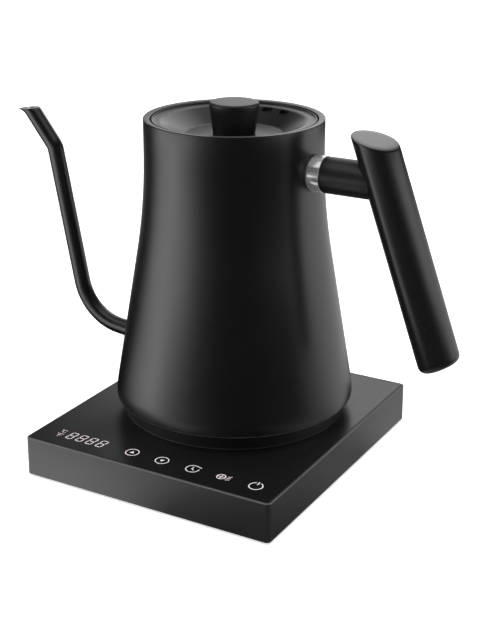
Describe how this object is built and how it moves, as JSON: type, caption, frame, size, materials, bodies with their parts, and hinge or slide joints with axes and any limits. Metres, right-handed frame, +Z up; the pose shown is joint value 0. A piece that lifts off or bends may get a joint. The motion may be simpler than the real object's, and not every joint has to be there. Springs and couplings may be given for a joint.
{
  "type": "electric gooseneck kettle",
  "caption": "Cordless gooseneck kettle with a hollow lean grip and lift-off dished lid, on a square-edged power base with a touch control strip and a round connector.",
  "frame": {"origin": "middle of the power base in plan, on the plane of its rubber feet", "axes": "+Z up; +Y from the control strip to the back wall with the cord gland; +X from the spout to the handle"},
  "size_m": [0.2699, 0.1628, 0.1905],
  "materials": {
    "base_shell": "fine matt moulded grain",
    "top_plate": "satin, soft sheen",
    "marks": "translucent white light guides",
    "display": "potted display block",
    "circuit_board": "solder mask",
    "touch_pad": "conductive foam",
    "relay_case": "moulded case",
    "film_capacitor": "dipped case",
    "transformer_core": "taped core and winding",
    "capacitor_can": "sleeved can",
    "buzzer_case": "moulded case",
    "terminal_case": "moulded case",
    "ribbon": "ribbed insulation",
    "screw": "zinc plated",
    "connector_plastic": "glass filled plastic",
    "contact_brass": "bare, slightly tarnished",
    "seal_rubber": "silicone",
    "gland_rubber": "soft moulded",
    "cover_plastic": "coarse matt grain",
    "foot_rubber": "soft",
    "body_paint": "satin black powder coat",
    "inner_steel": "satin stainless steel",
    "heater_alloy": "cast",
    "element_sheath": "oxidised sheath",
    "ceramic": "ceramic case",
    "probe_steel": "polished stainless steel",
    "clear_seal": "silicone",
    "foot_plastic": "matt",
    "ferrule_chrome": "polished",
    "stud_steel": "turned",
    "grip_plastic": "satin, fine grain",
    "knob_plastic": "satin, fine grain",
    "lid_paint": "satin black powder coat",
    "gasket_rubber": "silicone"
  },
  "bodies": {
    "base": {"base_housing": "base_shell", "base_top_plate": "top_plate", "touch_marks": "marks", "display_digits": "marks", "display_module": "display", "control_board": "circuit_board", "touch_pads": "touch_pad", "power_board": "circuit_board", "relay": "relay_case", "filter_capacitor": "film_capacitor", "transformer": "transformer_core", "electrolytic_capacitors": "capacitor_can", "buzzer": "buzzer_case", "terminal_block": "terminal_case", "ribbon_cable": "ribbon", "board_screws": "screw", "base_connector": "connector_plastic", "base_contacts": "contact_brass", "connector_seal": "seal_rubber", "base_connector_screws": "screw", "cord_gland": "gland_rubber", "bottom_cover": "cover_plastic", "cover_screws": "screw", "rubber_feet": "foot_rubber"},
    "contact_rings": {"earth_ring": "contact_brass", "neutral_ring": "contact_brass", "live_pin": "contact_brass"},
    "kettle": {"kettle_body": "body_paint", "neck_ring": "inner_steel", "kettle_floor": "inner_steel", "floor_studs": "inner_steel", "heater_plate": "heater_alloy", "heating_element": "element_sheath", "element_terminals": "inner_steel", "thermal_cutout": "ceramic", "thermal_fuse": "contact_brass", "temperature_probe": "probe_steel", "probe_seal": "clear_seal", "kettle_connector": "connector_plastic", "kettle_connector_screws": "screw", "foot_cover": "foot_plastic", "foot_cover_screws": "screw", "spout_tube": "body_paint", "handle_stud": "stud_steel", "handle_ferrule": "ferrule_chrome", "handle_stem": "grip_plastic", "grub_screw": "stud_steel", "handle_grip": "grip_plastic", "grip_cap": "grip_plastic"},
    "gasket": {"lid_gasket": "gasket_rubber"},
    "lid": {"lid_dish": "lid_paint", "lid_inner_cup": "inner_steel", "lid_knob": "knob_plastic", "lid_washer": "screw", "lid_knob_screw": "screw"}
  },
  "joints": [
    {"name": "kettle_lift", "type": "slide", "parent": "base", "child": "contact_rings", "axis": [0, 0, 1], "range_m": [0, 0.12]},
    {"name": "kettle_swivel", "type": "hinge", "parent": "contact_rings", "child": "kettle", "pos_m": [0, 0.012, 0.022], "axis": [0, 0, 1], "continuous": true},
    {"name": "lid_lift", "type": "slide", "parent": "kettle", "child": "gasket", "axis": [0, 0, 1], "range_m": [0, 0.08]},
    {"name": "lid_turn", "type": "hinge", "parent": "gasket", "child": "lid", "pos_m": [0, 0.012, 0.18], "axis": [0, 0, 1], "continuous": true}
  ]
}
